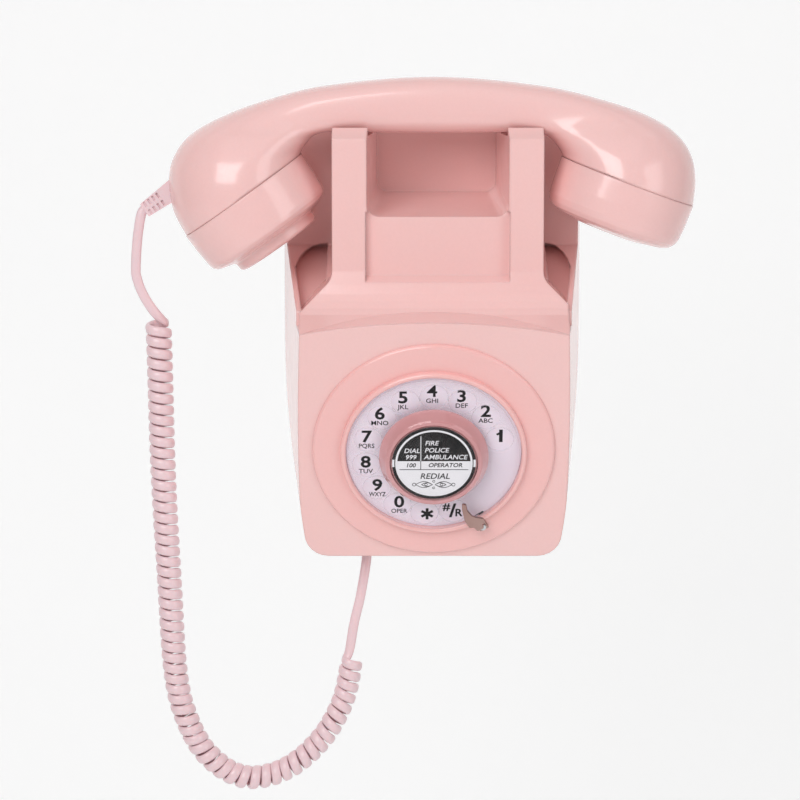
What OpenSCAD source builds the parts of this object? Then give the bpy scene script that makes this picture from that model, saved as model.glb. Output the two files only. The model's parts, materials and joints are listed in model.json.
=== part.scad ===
// Wall telephone with a rotary dial: case, dial works, bell, hook, handset and curly cord.
// Millimetres. +X right, +Y into the wall, +Z up; origin on the wall plane at the case's centre.

/* [Case] */
// Height of the case
case_h = 198; // [180:1:210]
// Width of the case at the wall
case_w = 136.6; // [130:0.2:140]
// How much narrower each side is at the bottom
side_drop = 9.4; // [7:0.2:11]
// Depth of the bottom face, wall to dial face
foot_f = 60; // [56:1:64]
// Depth of the ridge above the dial
ridge_f = 105.6; // [100:0.2:108]
// Height of the ridge at its middle
ridge_z = 11.4; // [10:0.2:13]
// Wall thickness of the moulded case
wall_t = 2.6; // [2:0.1:3]
// Radius of the lower corners
corner_r = 11; // [8:1:13]

/* [Cradle] */
// Front of the two posts, from the wall
post_f = 78; // [76:0.5:80]
// Inner side of each post
post_in = 31.6; // [28:0.2:33]
// Outer side of each post
post_out = 46.2; // [44:0.2:47]
// How far the cradle stands to the right of the case's middle
cradle_x = 1.7; // [0:0.1:2]
// Top of the horns in front of the grip
horn_z = 93.2; // [92:0.2:95]
// Seat of the grip
seat_z = 89.4; // [88:0.1:90]

/* [Dial] */
// Dial centre, measured up the dial face from its foot
dial_up = 55.7; // [54:0.1:58]
// Radius of the bezel disc
bezel_r = 53.4; // [50:0.2:55]
// Radius of the finger wheel
wheel_r = 37.8; // [36:0.1:38]
// Radius of the circle of finger holes
hole_circle_r = 29.9; // [29:0.1:30.5]
// Radius of a finger hole
finger_r = 6.05; // [5:0.05:6.1]
// Number of finger holes
finger_n = 12; // [10:1:12]
// Angle from one finger hole to the next
finger_step = 24.6; // [24:0.1:26]
// Angle of the first finger hole
finger_start = 16.4; // [12:0.2:18]
// Radius of the printed label
label_r = 18.7; // [17:0.1:19]

/* [Dial works] */
// Radius of the dial shaft
shaft_r = 3; // [2.5:0.1:3.5]
// Teeth on the main gear
gear_teeth = 60; // [40:2:72]
// Teeth on the governor pinion
pinion_teeth = 10; // [9:1:12]
// Gear module
gear_m = 0.6; // [0.5:0.05:0.7]

/* [Handset] */
// Depth of the handset's middle plane
handset_f = 55; // [54:1:56]
// Radius of the mouthpiece cup
mouth_r = 31.5; // [30:0.5:32]
// Radius of the earpiece cup
ear_r = 31.2; // [30:0.2:32]
// Wall thickness of the handset
handset_t = 2.6; // [2:0.1:3]

/* [Cord] */
// Outer diameter of the curly cord near the handset
coil_d = 12; // [11:0.5:13]
// Diameter of the straight leads
lead_d = 4.2; // [4:0.1:4.6]

/* [Hidden] */
$fn = 96;
slab = 1;
half_h = case_h / 2;
half_w = case_w / 2;
wing_f = 20;
panel_f = 74;
front_half = 57.6;
hull_f = 108;
side_from = -7;
side_span = side_from + half_h;
plate_t = 3;
plate_gap = 0.5;
tilt = atan((ridge_f - foot_f) / (ridge_z + half_h));
dial_f = foot_f + dial_up * sin(tilt);
dial_z = -half_h + dial_up * cos(tilt);
dial_hole_r = 36;
lip_r = 38.5;
lip_top = 4.6;
rim_n = 1.8;
print_n = 2;
wheel_n = 3.6;
wheel_top = 5.6;
hub_r = 24;
hub_top = 11.4;
button_r = label_r + 0.3;
stop_angle = -60;
frame_n = -6;
rear_n = -26;
gear_n = -17;
cam_n = -21;
shaft_end = -29;
pinion_r = pinion_teeth * gear_m / 2;
gear_r = gear_teeth * gear_m / 2;
governor_dist = gear_r + pinion_r + 0.1;
governor_angle = 40;
run_gap = 0.05;
pillar_r = 27;
pillar_angles = [120, 200, 320];
boss_angles = [45, 135, 225, 315];
boss_ring_r = 42;
board_f = 12;
board_x = 40;
board_low = -77;
board_high = -57;
wall_hole_x = 52;
wall_hole_z = [80, -40];
gong_x = 24;
gong_z = -8;
gong_r = 20;
gong_f = 13;
clapper_z = -31;
coil_z = -43;
jack_x = 30;
jack_f = 17;
volume_x = -24;
volume_f = 16;
grommet_x = -30;
grommet_f = 35;
plunger_x = 38.9;
plunger_xs = [cradle_x - plunger_x, cradle_x + plunger_x];
plunger_f = 56;
plunger_r = 2.5;
yoke_z = 43.5;
lever_f = 66;
lever_z = 39.5;
mouth_c = [-84.1, 62.9];
mouth_a = 35.4;
ear_c = [85.9, 69];
ear_a = -20.6;
boot_c = [-114.5, 65.7];
boot_a = 215.6;
boot_len = 16.5;

// Handset sections along its bow: back of the bow (x, z), inside of the bow (x, z), half depth.
bow = [
    [-109.5, 44.9, -58.8, 80.9, 31.5],
    [-114.9, 55.3, -58.3, 82.2, 31.6],
    [-117, 67.1, -57.4, 84, 30.4],
    [-115.6, 77.8, -55.5, 86.4, 27.6],
    [-109, 87.9, -52.8, 89, 23.6],
    [-96.4, 96, -48.6, 90.4, 19.4],
    [-76.1, 103.9, -41.6, 90.8, 16],
    [-47.5, 111, -27.8, 90.7, 14.4],
    [-0.2, 114.9, -0.2, 90.5, 14],
    [47, 111, 27.4, 90.7, 14.4],
    [78.6, 103.6, 40.3, 90.7, 16],
    [97.5, 96.4, 47.6, 90, 19.4],
    [108.2, 88.9, 51.7, 87.8, 23.6],
    [114.1, 79.8, 54.5, 84.7, 27.6],
    [115.9, 69, 56.3, 82, 30.2],
    [114.9, 58.1, 57, 79.9, 31.2]];
bow_steps = 4;
ring_n = 32;

// Routes of the cord, chosen by hand: x, y, z.
lead_route = [[-129.3, -55, 55], [-131, -55, 46.5], [-132, -54, 37.5], [-132.5, -53, 29.5],
    [-132.5, -52, 21], [-130.5, -51, 16.5], [-127.5, -50, 12], [-124, -50, 10.8]];
coil_route = [[-123, -50, 8], [-122.5, -50, -16], [-122, -49, -50], [-121, -48, -81.5],
    [-119.5, -47, -114.5], [-118, -46, -147.5], [-116, -45, -165], [-113, -45, -176],
    [-108.5, -44, -187], [-102.5, -44, -195.5], [-93.5, -43, -203], [-83.5, -43, -206],
    [-71.5, -42, -204], [-61, -42, -198], [-52, -41, -189.5], [-45.5, -41, -180],
    [-40.5, -40, -169], [-38, -40, -158], [-37, -40, -149]];
base_route = [[-37, -40, -147.8], [-38, -39, -139], [-34, -38, -127], [-31.5, -37, -114.5],
    [-30.2, -35.5, -106], [-30, -35, -101]];

function at(a, b, t) = a + (b - a) * t;
function curve(p, i, t) =
    let (n = len(p) - 1, a = p[max(i - 1, 0)], b = p[i], c = p[min(i + 1, n)], d = p[min(i + 2, n)])
    0.5 * ((2 * b) + (c - a) * t + (2 * a - 5 * b + 4 * c - d) * t * t
        + (3 * b - a - 3 * c + d) * t * t * t);
function fine(p, steps) = concat(
    [for (i = [0:len(p) - 2], k = [0:steps - 1]) curve(p, i, k / steps)], [p[len(p) - 1]]);
function unit(v) = v / norm(v);
function side_x(z, half, drop) = half - drop * pow(max(side_from - z, 0) / side_span, 2);
function roundness(depth) = at(0.68, 1, min(max((depth - 14) / 17, 0), 1));
function super(c, power) = sign(c) * pow(abs(c), power);

module faces_of(rings) {
    m = len(rings[0]);
    n = len(rings);
    polyhedron(
        points = [for (ring = rings, p = ring) p],
        faces = concat(
            [[for (j = [0:m - 1]) j]],
            [for (i = [0:n - 2], j = [0:m - 1])
                [i * m + j, (i + 1) * m + j, (i + 1) * m + (j + 1) % m, i * m + (j + 1) % m]],
            [[for (j = [m - 1:-1:0]) (n - 1) * m + j]]));
}

// Tube along a route that stays near one vertical plane.
module tube(route, steps, d0, d1, sides) {
    pts = fine(route, steps);
    n = len(pts) - 1;
    rings = [for (i = [0:n])
        let (t = unit(pts[min(i + 1, n)] - pts[max(i - 1, 0)]),
            u = unit(cross(t, [0, 1, 0])), v = cross(t, u), r = at(d0, d1, i / n) / 2)
        [for (k = [0:sides - 1]) pts[i] + r * (cos(360 * k / sides) * u + sin(360 * k / sides) * v)]];
    faces_of(rings);
}

// Solid bow of the handset, drawn smaller by an inset and longer by an overrun at both ends.
module bow_solid(inset, overrun) {
    keys = fine(bow, bow_steps);
    n = len(keys) - 1;
    rings = [for (i = [-1:n + 1])
        let (k = keys[min(max(i, 0), n)],
            out = [k[0], k[1]], in = [k[2], k[3]], mid = (out + in) / 2,
            a = norm(out - in) / 2 - inset, b = k[4] - inset, u = unit(in - out),
            push = i < 0 ? -overrun : (i > n ? overrun : 0),
            w = [-u[1], u[0]], power = roundness(k[4]))
        [for (j = [0:ring_n - 1])
            let (c = super(cos(360 * j / ring_n), power) * a, s = super(sin(360 * j / ring_n), power) * b)
            [mid[0] + u[0] * c + w[0] * push, -handset_f + s, mid[1] + u[1] * c + w[1] * push]]];
    used = overrun > 0 ? rings : [for (i = [1:n + 1]) rings[i]];
    faces_of(used);
}

// Places its children on the dial: X right, Y up the face, Z out of the face.
module on_dial() {
    translate([0, -dial_f, dial_z]) rotate([90 + tilt, 0, 0]) children();
}

// Places a cap on the handset: Z is the cap's axis, away from the shell.
module on_cap(c, a) {
    translate([c[0], -handset_f, c[1]]) rotate([0, 180 - a, 0]) children();
}

// A prism across the whole width, from an outline in depth and height.
module across(points, half) {
    rotate([90, 0, 90]) mirror([1, 0, 0])
        translate([0, 0, -half]) linear_extrude(height = 2 * half) polygon(points);
}

// A prism from the wall forward, from an outline in width and height.
module forward(f0, f1) {
    translate([0, -f0, 0]) rotate([90, 0, 0]) linear_extrude(height = f1 - f0) children();
}

module ring(r_out, r_in, n0, n1) {
    difference() {
        translate([0, 0, n0]) cylinder(r = r_out, h = n1 - n0);
        translate([0, 0, n0 - 1]) cylinder(r = r_in, h = n1 - n0 + 2);
    }
}

module rod(r, z0, z1) {
    translate([0, 0, z0]) cylinder(r = r, h = z1 - z0);
}

module box(x0, x1, f0, f1, z0, z1) {
    translate([x0, -f1, z0]) cube([x1 - x0, f1 - f0, z1 - z0]);
}

module forward_rod(x, z, r, f0, f1) {
    translate([x, -f0, z]) rotate([90, 0, 0]) cylinder(r = r, h = f1 - f0);
}

// Front outline of the case: parallel sides, drawn in below, with round lower corners.
module case_outline(half, drop, inset) {
    low = -half_h + inset;
    r = corner_r - inset;
    steps = 8;
    side = [for (i = [0:steps])
        let (z = at(side_from, low + r, i / steps)) [side_x(z, half, drop) - inset, z]];
    cx = side_x(low + r, half, drop) - inset - r;
    corner = [for (a = [15:15:90]) [cx + r * cos(a), low + r - r * sin(a)]];
    right = concat([[half - inset, half_h - inset]], side, corner);
    last = len(right) - 1;
    polygon(concat(right, [for (i = [0:last]) [-right[last - i][0], right[last - i][1]]]));
}

module case_taper(inset) {
    hull() {
        forward(-slab, 0) case_outline(half_w, side_drop, inset);
        forward(hull_f, hull_f + slab) case_outline(front_half, 3.2, inset);
    }
}

// One side of the cradle seen from the front: the post's outer edge, flared out at the foot.
function cradle_side(out) =
    let (flare_r = 8, flare_z = 31,
        arc = [for (a = [0:9:45]) [out + flare_r - flare_r * cos(a), flare_z - flare_r * sin(a)]],
        end = arc[len(arc) - 1])
    concat([[out, half_h + 1]], arc, [end + (front_half + 1 - end[0]) * [1, -1], [front_half + 1, -10.5]]);

module cradle_outline() {
    left = cradle_side(post_out - cradle_x);
    last = len(left) - 1;
    polygon(concat(cradle_side(post_out + cradle_x),
        [for (i = [0:last]) [-left[last - i][0], left[last - i][1]]]));
}

// Pocket between the posts, wider to the front, with a floor that falls forward.
module pocket(grow) {
    translate([cradle_x, 0, 0]) hull() {
        forward(wing_f - grow, wing_f - grow + slab) pocket_outline(27 + grow, 62 - grow);
        forward(post_f + 12, post_f + 12 + slab) pocket_outline(post_in + 0.4 + grow, 52.2 - grow);
    }
}

module pocket_outline(half, floor_z) {
    r = 5;
    arc = [for (a = [0:15:90]) [half - r + r * sin(a), floor_z + r - r * cos(a)]];
    last = len(arc) - 1;
    polygon(concat(arc, [[half, 130], [-half, 130]],
        [for (i = [0:last]) [-arc[last - i][0], arc[last - i][1]]]));
}

// Lower body: dial face, ridge and crowned shoulder.
module low_body(inset) {
    crown_r = 298;
    fall = 7.6;
    face_f = foot_f - inset / cos(tilt);
    intersection() {
        across([[-1, -half_h + inset], [face_f + inset * tan(tilt), -half_h + inset],
            [face_f + (half_h + 24) * tan(tilt), 24], [-1, 24]], 80);
        translate([0, -ridge_f, ridge_z - inset]) rotate([90 + fall, 0, 0])
            translate([0, -crown_r, -150]) cylinder(r = crown_r, h = 300, $fn = 360);
    }
}

// Posts, panel and steep shoulder above the ridge.
module high_body() {
    intersection() {
        across([[-2, -10], [96.5, -10], [103.1, 5.9], [88, 12.9], [85, 15.4], [82.9, 18.2], [81.3, 21.4],
            [80, 25.2], [78.4, 31], [post_f, 40], [post_f, horn_z - 4.6], [71, horn_z], [-2, horn_z]], 70);
        forward(-2, 105) cradle_outline();
    }
}

// Side flanks that slope from the shoulder's corners back to the wing.
module flanks(inset) {
    across([[-3, -12], [84.5 - inset, -12], [84.5 - inset, 14.2 - inset], [wing_f - inset, 37.5 - inset],
        [wing_f - inset, half_h - inset], [-3, half_h - inset]], 75);
}

// Hollow beside each post: arched at the top, highest by the post, with a floor that falls forward.
module side_hollow(grow) {
    from = 3.3;
    to = 62.2;
    top = 38.4;
    rise = 11.5;
    intersection() {
        forward(10, 98) for (s = [-1, 1]) {
            near = post_out + s * cradle_x + from - grow;
            wide = to + grow - near;
            arc = [for (a = [0:15:75]) [near + wide * cos(a), top + grow - rise + rise * sin(a)]];
            polygon([for (p = concat([[near, -6]], [[to + grow, -6]], arc, [[near, top + grow]]))
                [s * p[0], p[1]]]);
        }
        across([[13 - grow, 60], [13 - grow, 36.5 - grow], [82, 7 - grow], [98, 7 - grow], [98, 60]], 80);
    }
}

// Hollow of the case, open toward the wall.
module case_hollow() {
    difference() {
        intersection() {
            case_taper(wall_t);
            union() {
                difference() {
                    low_body(wall_t);
                    box(-90, 90, 83.6, 130, 8.6, 40);
                }
                flanks(wall_t);
                box(cradle_x - 43.3, cradle_x + 43.3, -1.5, panel_f - wall_t, -12.5, 52);
            }
        }
        side_hollow(wall_t);
        pocket(wall_t);
    }
}

module front_case() {
    color("#ecbfbc")
    difference() {
        intersection() {
            case_taper(0);
            union() {
                low_body(0);
                high_body();
                difference() {
                    flanks(0);
                    intersection() {
                        case_taper(wall_t - 0.2);
                        side_hollow(0);
                    }
                }
            }
        }
        pocket(0);
        // Set-back panel between the posts, with a sloping ledge below
        translate([cradle_x, 0, 0]) across([[panel_f, 28.8], [92, 20.6], [92, 57], [panel_f, 57]], post_in);
        // Grip seat across both posts, and clearance behind it
        box(-80, 80, 40.4, 69.8, seat_z, 130);
        case_hollow();
        for (x = plunger_xs) box(x - 4.8, x + 4.8, 8, 74.6, 40, seat_z - 2.8);
        // Openings for the dial, plungers, jack, volume slider, grommet and screws
        on_dial() rod(dial_hole_r, -8, 2);
        for (a = boss_angles) on_dial() rotate(a) translate([boss_ring_r, 0, 0]) rod(1.25, -4, -1);
        for (x = plunger_xs) translate([x, -plunger_f, 80]) cylinder(r = plunger_r + 0.06, h = 20);
        box(jack_x - 6.2, jack_x + 6.2, jack_f - 5.2, jack_f + 5.2, -half_h - 1, -half_h + 4);
        box(volume_x - 8, volume_x + 8, volume_f - 2.2, volume_f + 2.2, -half_h - 1, -half_h + 4);
        translate([grommet_x, -grommet_f, -half_h - 1]) cylinder(r = 4, h = 6);
        for (s = [-1, 1]) translate([s * 46, -9, -half_h - 1]) cylinder(r = 1.7, h = 6);
    }
}

module back_plate() {
    color("#d9b6b3")
    difference() {
        union() {
            forward(0, plate_t) case_outline(half_w, side_drop, wall_t + plate_gap);
            for (x = [-board_x, board_x], z = [board_low, board_high])
                forward_rod(x, z, 3.5, plate_t - 0.5, board_f);
            for (s = [-1, 1]) box(s * 46 - 4.5, s * 46 + 4.5, plate_t - 0.5, 13.5, -half_h + 4, -half_h + 16);
            for (s = [-1, 1]) box(s * 8 - 1.5, s * 8 + 1.5, plate_t - 0.5, 8, 30, 84);
        }
        for (x = [-wall_hole_x, wall_hole_x], z = wall_hole_z) forward_rod(x, z, 2.25, -1, plate_t + 1);
        for (x = [-board_x, board_x], z = [board_low, board_high]) forward_rod(x, z, 1.3, 5, 20);
        for (s = [-1, 1]) translate([s * 46, -9, -half_h]) cylinder(r = 1.25, h = 14);
    }
}

module case_screws() {
    color("silver")
    for (s = [-1, 1]) translate([s * 46, -9, -half_h]) {
        rod(1.25, 0, 12);
        difference() {
            rod(3, -1.6, 0);
            translate([-2.4, -0.4, -2]) cube([4.8, 0.8, 1.2]);
            translate([-0.4, -2.4, -2]) cube([0.8, 4.8, 1.2]);
        }
    }
}

module dial_bezel() {
    edge = [for (a = [0:15:90]) [bezel_r - 1.6 + 1.6 * cos(a), rim_n - 1.6 + 1.6 * sin(a)]];
    lip = [for (a = [0:20:180]) [lip_r + 1.2 + 1.2 * cos(a), lip_top - 1.2 + 1.2 * sin(a)]];
    color("#e9b5b1") on_dial()
        rotate_extrude() polygon(concat([[34.4, -2.4], [35.9, -2.4], [35.9, 0], [bezel_r, 0]], edge,
            [[lip_r + 2.4, rim_n]], lip, [[lip_r, 1], [34.4, 1]]));
}

module number_plate() {
    color("#e0d6e0") on_dial() ring(lip_r - 0.1, 20.5, 1, print_n);
}

module finger_stop() {
    a = stop_angle;
    color("#b9aaa5") on_dial() difference() {
        union() {
            rotate(a) {
                translate([41, -2.2, rim_n]) cube([4.8, 4.4, 1.2]);
                translate([41, -1.6, rim_n]) cube([1, 3.2, 6.6]);
            }
            translate([0, 0, 7.2]) linear_extrude(height = 1.2) stop_outline();
        }
        rotate(a) translate([44, 0, 0]) rod(0.8, 0, 6);
    }
}

// Hook of the finger stop: broad at its foot, bent to a narrow tip.
module stop_outline() {
    rotate(stop_angle)
        polygon([[42, -1.6], [42, 1.6], [40, 1.9], [39.4, 4], [37.4, 3.9], [35.2, 1.4], [33.8, 0.2],
            [30.4, -0.2], [27.2, 0.9], [26.2, -0.7], [28.6, -2], [31.4, -3], [35, -4], [38.8, -3.9],
            [39.6, -2]]);
}

module stop_screws() {
    color("silver") on_dial() rotate(stop_angle) translate([44, 0, 0]) {
        rod(0.8, 0.4, rim_n + 1.2);
        rod(1.5, rim_n + 1.2, rim_n + 2);
    }
}

module dial_frame() {
    color("#b8bcc0") on_dial() difference() {
        union() {
            rod(34, frame_n, frame_n + 2);
            for (a = boss_angles) rotate(a) {
                translate([30, -3, frame_n]) cube([boss_ring_r - 30, 6, 2]);
                translate([boss_ring_r, 0, 0]) rod(4, frame_n, -wall_t);
            }
        }
        rod(5.5, frame_n - 1, 2);
        for (a = boss_angles) rotate(a) translate([boss_ring_r, 0, 0]) rod(1.4, frame_n - 1, 0);
        rotate(governor_angle) translate([governor_dist, 0, 0]) rod(1.5 + run_gap, frame_n - 1, 0);
    }
}

module frame_screws() {
    color("silver") on_dial() for (a = boss_angles) rotate(a) translate([boss_ring_r, 0, 0]) {
        rod(1.25, frame_n, -1.2);
        rod(2.6, frame_n - 1.8, frame_n);
    }
}

module dial_bearing() {
    color("#c9a24a") on_dial() difference() {
        union() {
            rod(5.5, frame_n - 3, 0.4);
            rod(8, frame_n + 2, frame_n + 3);
        }
        rod(shaft_r + run_gap, frame_n - 6, 3);
    }
}

module dial_rear_plate() {
    color("#b8bcc0") on_dial() difference() {
        union() {
            rod(30.5, rear_n, rear_n + 2);
            for (a = pillar_angles) rotate(a) translate([pillar_r, 0, 0]) rod(2.5, rear_n + 1, frame_n);
        }
        rod(shaft_r + run_gap, rear_n - 1, rear_n + 4);
        rotate(governor_angle) translate([governor_dist, 0, 0]) rod(1.5 + run_gap, rear_n - 1, rear_n + 4);
        rotate(governor_angle + 180) translate([14, 0, 0]) rod(5, rear_n - 1, rear_n + 4);
    }
}

// Flat spiral that winds the dial back; its inner end stands just clear of the shaft.
module return_spring() {
    turns = 4;
    pitch = 2.2;
    thick = 0.5;
    steps = 20;
    inner = [for (i = [0:turns * steps]) let (a = 360 * i / steps, r = 4.2 + pitch * i / steps)
        [r * cos(a), r * sin(a)]];
    outer = [for (i = [0:turns * steps]) let (a = 360 * i / steps, r = 4.2 + thick + pitch * i / steps)
        [r * cos(a), r * sin(a)]];
    last = turns * steps;
    color("#8f9499") on_dial() {
        translate([0, 0, -13]) linear_extrude(height = 2.4)
            polygon(concat(inner, [for (i = [0:last]) outer[last - i]]));
        translate([13.6, -1, -13]) cube([2.4, 2, 7]);
    }
}

module pulse_contacts() {
    color("#3a3a40") on_dial() rotate(250) {
        translate([19, -6, frame_n - 16]) cube([6, 12, 16]);
        for (k = [0, 1]) translate([10.6 + 1.6 * k, -5 + k, cam_n]) cube([0.5, 9, 2]);
        for (k = [0, 1]) translate([10.6 + 1.6 * k, 3.4, cam_n + 0.3]) cube([8.6 - 1.6 * k, 0.5, 1.4]);
    }
}

module governor_cup() {
    color("#c9a24a") on_dial() rotate(governor_angle) translate([governor_dist, 0, 0])
        ring(8.4, 7.6, rear_n + 2, rear_n + 6.5);
}

// Teeth are narrow trapezoids, so the pair runs with room between the flanks.
module gear_shape(teeth, r) {
    pitch_angle = 360 / teeth;
    half_root = pitch_angle * 0.25;
    half_tip = pitch_angle * 0.12;
    root = r - 1.1 * gear_m;
    tip = r + 0.8 * gear_m;
    polygon([for (i = [0:teeth - 1], k = [0:3])
        let (c = i * pitch_angle, a = [-half_root, -half_tip, half_tip, half_root][k],
            d = (k == 0 || k == 3) ? root : tip)
        [d * cos(c + a), d * sin(c + a)]]);
}

module main_gear() {
    color("#c9a24a") on_dial() difference() {
        translate([0, 0, gear_n]) rotate(governor_angle) linear_extrude(height = 1.6)
            gear_shape(gear_teeth, gear_r);
        rod(shaft_r, gear_n - 1, gear_n + 4);
        for (a = [0:72:288]) rotate(a) translate([10.6, 0, 0]) rod(3.2, gear_n - 1, gear_n + 4);
    }
}

module governor_pinion() {
    color("#8f9499") on_dial() rotate(governor_angle) translate([governor_dist, 0, 0]) {
        rod(1.5, rear_n + 0.4, frame_n + 1.6);
        difference() {
            translate([0, 0, gear_n - 1]) rotate(180 / pinion_teeth) linear_extrude(height = 3.4)
                gear_shape(pinion_teeth, pinion_r);
            rod(1.5, gear_n - 2, gear_n + 3);
        }
    }
}

module governor_weights() {
    color("#b0843c") on_dial() rotate(governor_angle) translate([governor_dist, 0, rear_n + 2.6])
        difference() {
            union() {
                translate([-1.4, -6.6, 0]) cube([2.8, 13.2, 1.2]);
                for (s = [-1, 1]) translate([0, s * 5.2, 0]) rod(1.9, 0, 3);
                rod(2.6, 0, 2.6);
            }
            rod(1.5, -1, 4);
        }
}

module pulse_cam() {
    lobes = 12;
    color("#e8e2d0") on_dial() difference() {
        union() {
            rod(8, cam_n, cam_n + 2);
            for (i = [0:lobes - 1]) rotate(i * finger_step) translate([7.2, -0.7, cam_n]) cube([2.2, 1.4, 2]);
        }
        rod(shaft_r, cam_n - 1, cam_n + 3);
    }
}

module shaft_clip() {
    color("#8f9499") on_dial() difference() {
        rod(5, rear_n - 1.4, rear_n - 0.4);
        rod(shaft_r, rear_n - 2, rear_n);
        translate([-1, 0, rear_n - 2]) cube([2, 8, 3]);
    }
}

module dial_shaft() {
    color("#9da1a6") on_dial() difference() {
        rod(shaft_r, shaft_end, wheel_top);
        rod(1.06, shaft_end - 1, wheel_top + 1);
    }
}

module finger_wheel() {
    color("#f1e9ec", 0.4) on_dial() difference() {
        rod(wheel_r, wheel_n, wheel_top);
        rod(8.2, wheel_n - 1, wheel_top + 1);
        for (i = [0:finger_n - 1]) rotate(finger_start + i * finger_step)
            translate([hole_circle_r, 0, 0]) rod(finger_r, wheel_n - 1, wheel_top + 1);
    }
}

module wheel_hub() {
    color("#f2cfd0") on_dial() difference() {
        rotate_extrude() polygon([[shaft_r, wheel_n - 0.6], [8.2, wheel_n - 0.6], [8.2, wheel_top],
            [hub_r, wheel_top], [hub_r, wheel_top + 0.8], [21.4, hub_top - 0.5], [20.8, hub_top],
            [button_r + 0.3, hub_top], [button_r + 0.3, wheel_top + 1], [shaft_r, wheel_top + 1]]);
        rod(shaft_r, 0, wheel_top + 2);
    }
}

module redial_button() {
    color("#f0d9dc") on_dial() difference() {
        union() {
            rod(button_r, 8.4, 10.8);
            rod(1, -31.4, 9);
        }
        ring(button_r + 1, label_r - 0.1, 10.2, 12);
    }
}

module label_card() {
    color("#1c1c1f") on_dial() rod(label_r - 0.4, 10.8, 11.1);
}

module label_lens() {
    color("#ffffff", 0.3) on_dial() difference() {
        rod(label_r - 0.2, 10.8, 12);
        rod(label_r - 0.4, 10, 11.1);
    }
}

module redial_switch() {
    color("#2b2b30") on_dial() {
        for (s = [-1, 1]) translate([s * 10 - 1.5, -3, -40]) cube([3, 6, 40 + rear_n]);
        translate([-8.5, -4, -40]) cube([17, 8, 6.6]);
    }
}

module circuit_board() {
    color("#2f7a4f") difference() {
        box(-45, 45, board_f, board_f + 1.6, -81.5, -52.5);
        for (x = [-board_x, board_x], z = [board_low, board_high]) forward_rod(x, z, 1.3, 5, 20);
    }
}

module board_components() {
    top = board_f + 1.6;
    color("#26262b") {
        box(-30, -14, top, top + 3, -69, -59);
        box(-6, 8, top, top + 3.4, -74, -62);
        box(14, 30, top, top + 7, -68, -58);
        for (x = [-24, -16]) forward_rod(x, -75, 3, top, top + 9);
        for (x = [12:5:32]) box(x, x + 2, top, top + 2, -79, -71);
    }
}

module board_screws() {
    color("silver") for (x = [-board_x, board_x], z = [board_low, board_high]) {
        forward_rod(x, z, 1.25, 6, board_f + 1.6);
        forward_rod(x, z, 2.6, board_f + 1.6, board_f + 3.2);
    }
}

module line_jack() {
    low = -half_h + wall_t;
    color("#e8e0d8") difference() {
        union() {
            box(jack_x - 8, jack_x + 8, jack_f - 7, jack_f + 7, low, low + 14);
            box(jack_x - 6.1, jack_x + 6.1, jack_f - 5.1, jack_f + 5.1, -half_h + 0.2, low + 1);
        }
        box(jack_x - 4.9, jack_x + 4.9, jack_f - 3.6, jack_f + 3.6, -half_h - 1, low + 11);
        box(jack_x - 1.6, jack_x + 1.6, jack_f - 4.8, jack_f, -half_h - 1, low + 6);
    }
}

module hook_switch() {
    color("#2b2b30") difference() {
        union() {
            box(-8, 8, 58, panel_f - wall_t, 26, 35);
            for (s = [-1, 1]) box(s * 6.5 - 1.5, s * 6.5 + 1.5, 62, panel_f - wall_t, 34, 42);
            translate([-7, -lever_f, lever_z]) rotate([0, 90, 0]) cylinder(r = 1.5, h = 14);
        }
        box(-2, 2, 56, 60, 26, 30);
    }
}

module hook_lever() {
    color("#c7c9cc") difference() {
        union() {
            translate([-4.6, -lever_f, lever_z]) rotate([0, 90, 0]) cylinder(r = 3.2, h = 9.2);
            box(-4.6, 4.6, 52, lever_f, lever_z - 1.2, lever_z + 1.2);
            box(-4.6, 4.6, 52, 54, lever_z - 1.2, yoke_z - 0.6);
        }
        translate([-5, -lever_f, lever_z]) rotate([0, 90, 0]) cylinder(r = 1.5 + run_gap, h = 10);
    }
}

module hook_plungers() {
    color("#ecbfbc") {
        for (x = plunger_xs) translate([x, -plunger_f, 0]) {
            rod(plunger_r, yoke_z + 1, seat_z - 0.1);
            rod(4, yoke_z + 2, yoke_z + 6);
        }
        box(plunger_xs[0] - 3, plunger_xs[1] + 3, plunger_f - 3.5, plunger_f + 3.5, yoke_z, yoke_z + 3);
    }
}

module bell_bracket() {
    color("#b8bcc0") {
        difference() {
            union() {
                box(-34, 34, 5, 7, gong_z - 6, gong_z + 6);
                box(-14, 14, 5, 7, -52, gong_z);
            }
            for (s = [-1, 1]) forward_rod(s * 10, -24, 2, 4, 8);
        }
        for (x = [-30, 30]) box(x - 3, x + 3, plate_t, 5.1, gong_z - 4, gong_z + 4);
        box(-6, 6, plate_t, 5.1, -51, -46);
        for (s = [-1, 1]) difference() {
            forward_rod(s * gong_x, gong_z, 3, 6.9, gong_f + 11.2);
            forward_rod(s * gong_x, gong_z, 1.3, gong_f, gong_f + 14);
        }
        forward_rod(0, clapper_z, 1.5, 6.9, 20);
    }
}

// One gong: a thin dome, open toward the wall.
module gong(x) {
    wall = 1.2;
    dome = [for (a = [0:10:80]) [gong_r * cos(a), 12.3 * sin(a) + 0.2]];
    inner = [for (a = [0:10:80]) [(gong_r - wall) * cos(80 - a), (12.3 - wall) * sin(80 - a) + 0.2]];
    color("#c8ccd0") translate([x, -gong_f, gong_z]) rotate([90, 0, 0]) difference() {
        rotate_extrude() polygon(concat([[gong_r, 0]], dome, [[3, 13.5], [1.7, 13.5], [1.7, 12.3]],
            inner, [[gong_r - wall, 0]]));
        rod(1.7, 0, 20);
    }
}

module bell_gong_left() {
    gong(-gong_x);
}

module bell_gong_right() {
    gong(gong_x);
}

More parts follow.
